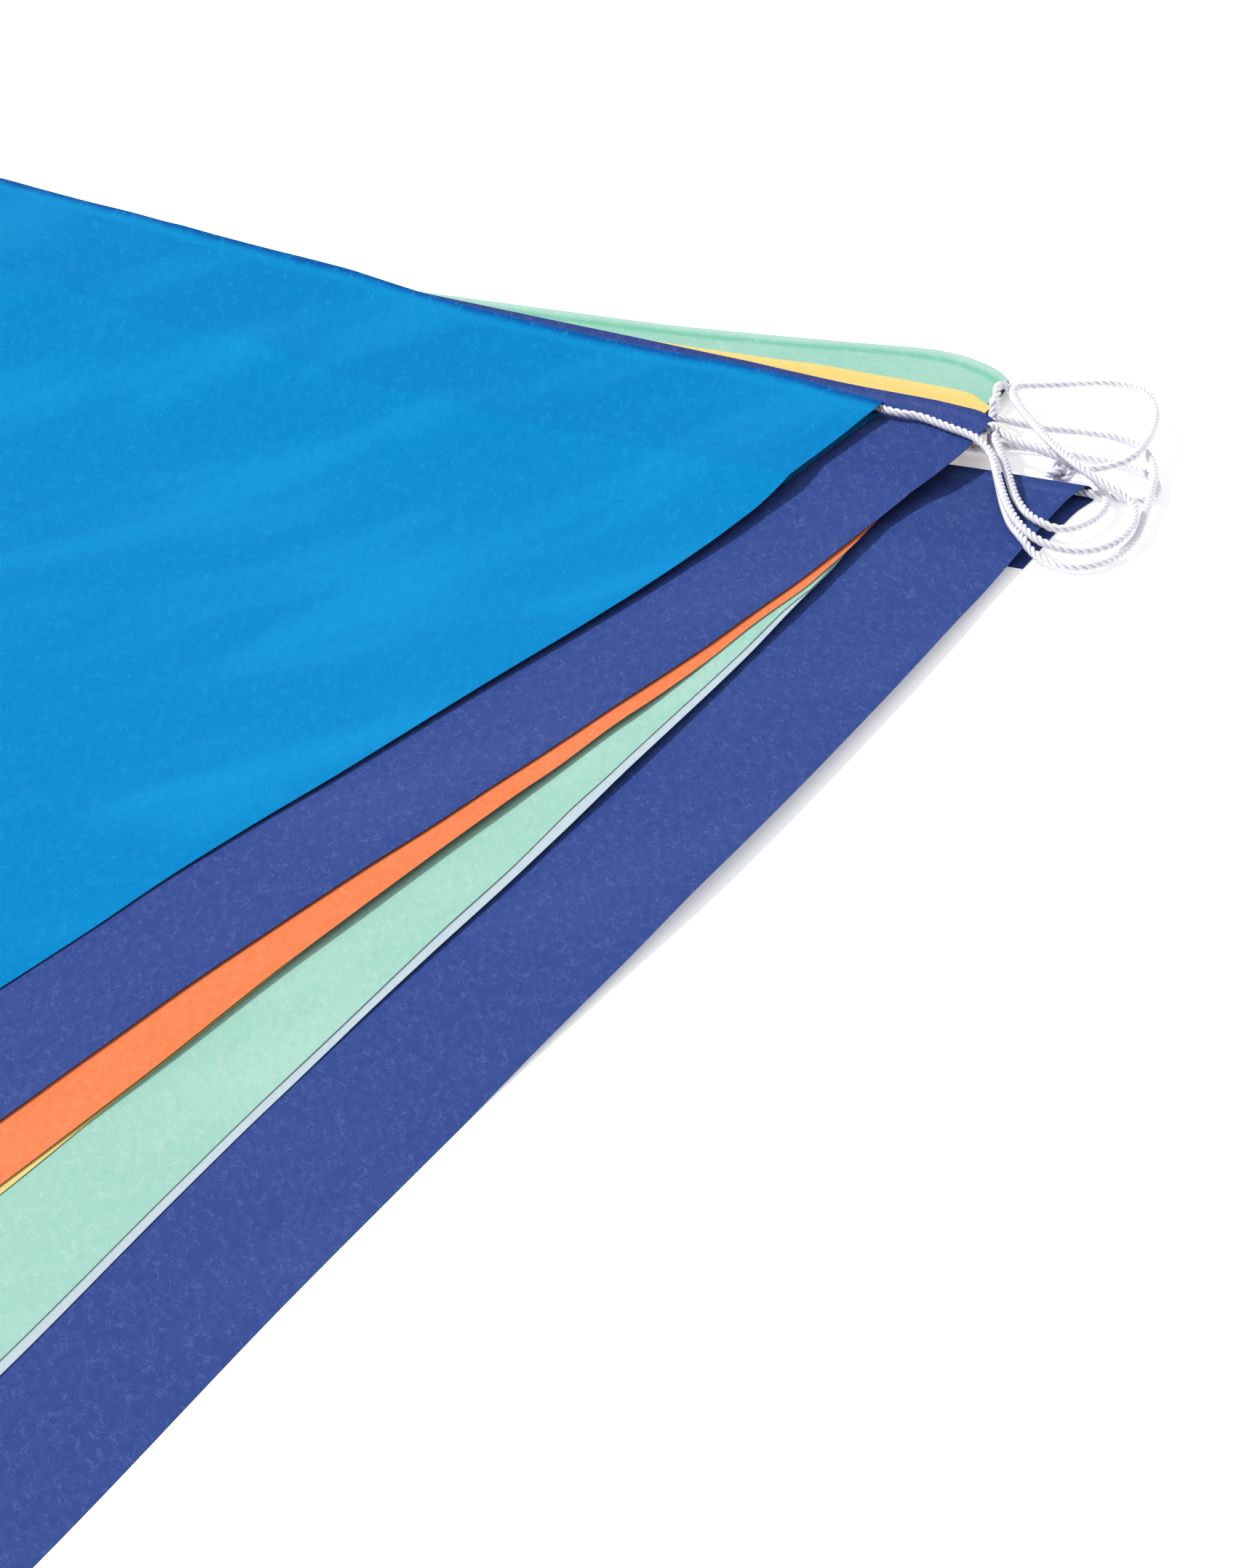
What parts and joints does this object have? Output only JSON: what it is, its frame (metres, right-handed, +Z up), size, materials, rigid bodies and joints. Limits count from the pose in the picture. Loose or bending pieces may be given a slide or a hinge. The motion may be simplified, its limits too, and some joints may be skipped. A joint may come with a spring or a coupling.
{
  "type": "papel picado banner",
  "caption": "Paper flag banner laid in a fanned stack: plain tissue flags, each hemmed over a white twisted cord that loops at both ends.",
  "frame": {"origin": "middle of the bottom flag's panel, on the surface that the stack lies on", "axes": "+X along the bottom flag's hem towards the loops, +Y from its lower edge to its hem, +Z up"},
  "size_m": [0.287, 0.3354, 0.0072],
  "materials": {
    "navy_tissue": "matte tissue paper",
    "pale_blue_tissue": "matte tissue paper",
    "mint_tissue": "matte tissue paper",
    "yellow_tissue": "matte tissue paper",
    "orange_tissue": "matte tissue paper",
    "blue_tissue": "matte tissue paper",
    "nylon_cord": "twisted white nylon"
  },
  "bodies": {
    "root": {"flag_navy_bottom": "navy_tissue", "flag_pale_blue": "pale_blue_tissue", "flag_mint": "mint_tissue", "flag_yellow": "yellow_tissue", "flag_orange": "orange_tissue", "flag_navy_upper": "navy_tissue", "flag_blue": "blue_tissue", "cord_in_hem_1": "nylon_cord", "cord_in_hem_2": "nylon_cord", "cord_in_hem_3": "nylon_cord", "cord_in_hem_4": "nylon_cord", "cord_in_hem_5": "nylon_cord", "cord_in_hem_6": "nylon_cord", "cord_in_hem_7": "nylon_cord", "cord_loop_right_1": "nylon_cord", "cord_loop_right_2": "nylon_cord", "cord_loop_right_3": "nylon_cord", "cord_loop_left_1": "nylon_cord", "cord_loop_left_2": "nylon_cord", "cord_loop_left_3": "nylon_cord", "cord_tail_right": "nylon_cord", "cord_tail_left": "nylon_cord", "knot_right": "nylon_cord", "knot_left": "nylon_cord"}
  },
  "joints": []
}
